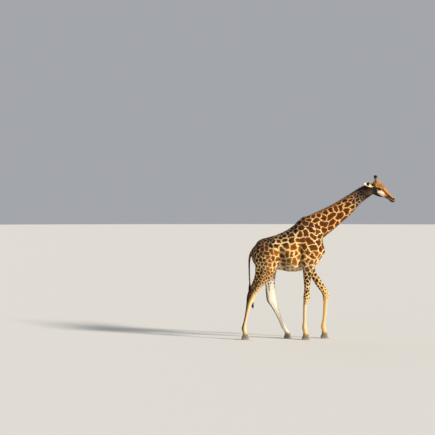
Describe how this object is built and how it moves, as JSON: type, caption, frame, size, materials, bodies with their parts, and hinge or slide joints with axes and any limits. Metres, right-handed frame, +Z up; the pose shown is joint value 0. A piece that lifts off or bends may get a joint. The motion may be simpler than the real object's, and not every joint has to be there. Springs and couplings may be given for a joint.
{
  "type": "giraffe",
  "caption": "Life-size standing model of a walking giraffe with a patched coat, short mane, ossicones, tufted tail and cloven hooves.",
  "frame": {"origin": "on the floor under the middle of the model's box", "axes": "+X the way the animal faces, +Y its left side, +Z up"},
  "size_m": [3.483, 0.6634, 3.7213],
  "materials": {
    "coat": "short fur, dark brown patches in a pale tan net",
    "mane_hair": "short upright hair, reddish brown",
    "tuft_hair": "long black hair",
    "ossicone_hair": "short dark hair over bone",
    "hoof_horn": "grey-brown horn, matt",
    "eye": "dark brown, wet and glossy"
  },
  "bodies": {
    "root": {"ear_left": "coat", "ear_right": "coat", "eye_left": "eye", "eye_right": "eye", "foreleg_cannon_left": "coat", "foreleg_cannon_right": "coat", "foreleg_forearm_left": "coat", "foreleg_forearm_right": "coat", "foreleg_pastern_left": "coat", "foreleg_pastern_right": "coat", "head": "coat", "hindleg_cannon_left": "coat", "hindleg_cannon_right": "coat", "hindleg_pastern_left": "coat", "hindleg_pastern_right": "coat", "hindleg_shank_left": "coat", "hindleg_shank_right": "coat", "hindleg_thigh_left": "coat", "hindleg_thigh_right": "coat", "hoof_fore_left_inner": "hoof_horn", "hoof_fore_left_outer": "hoof_horn", "hoof_fore_right_inner": "hoof_horn", "hoof_fore_right_outer": "hoof_horn", "hoof_hind_left_inner": "hoof_horn", "hoof_hind_left_outer": "hoof_horn", "hoof_hind_right_inner": "hoof_horn", "hoof_hind_right_outer": "hoof_horn", "mane": "mane_hair", "neck": "coat", "ossicone_left": "ossicone_hair", "ossicone_right": "ossicone_hair", "tail": "coat", "tail_tuft": "tuft_hair", "trunk": "coat"}
  },
  "joints": []
}
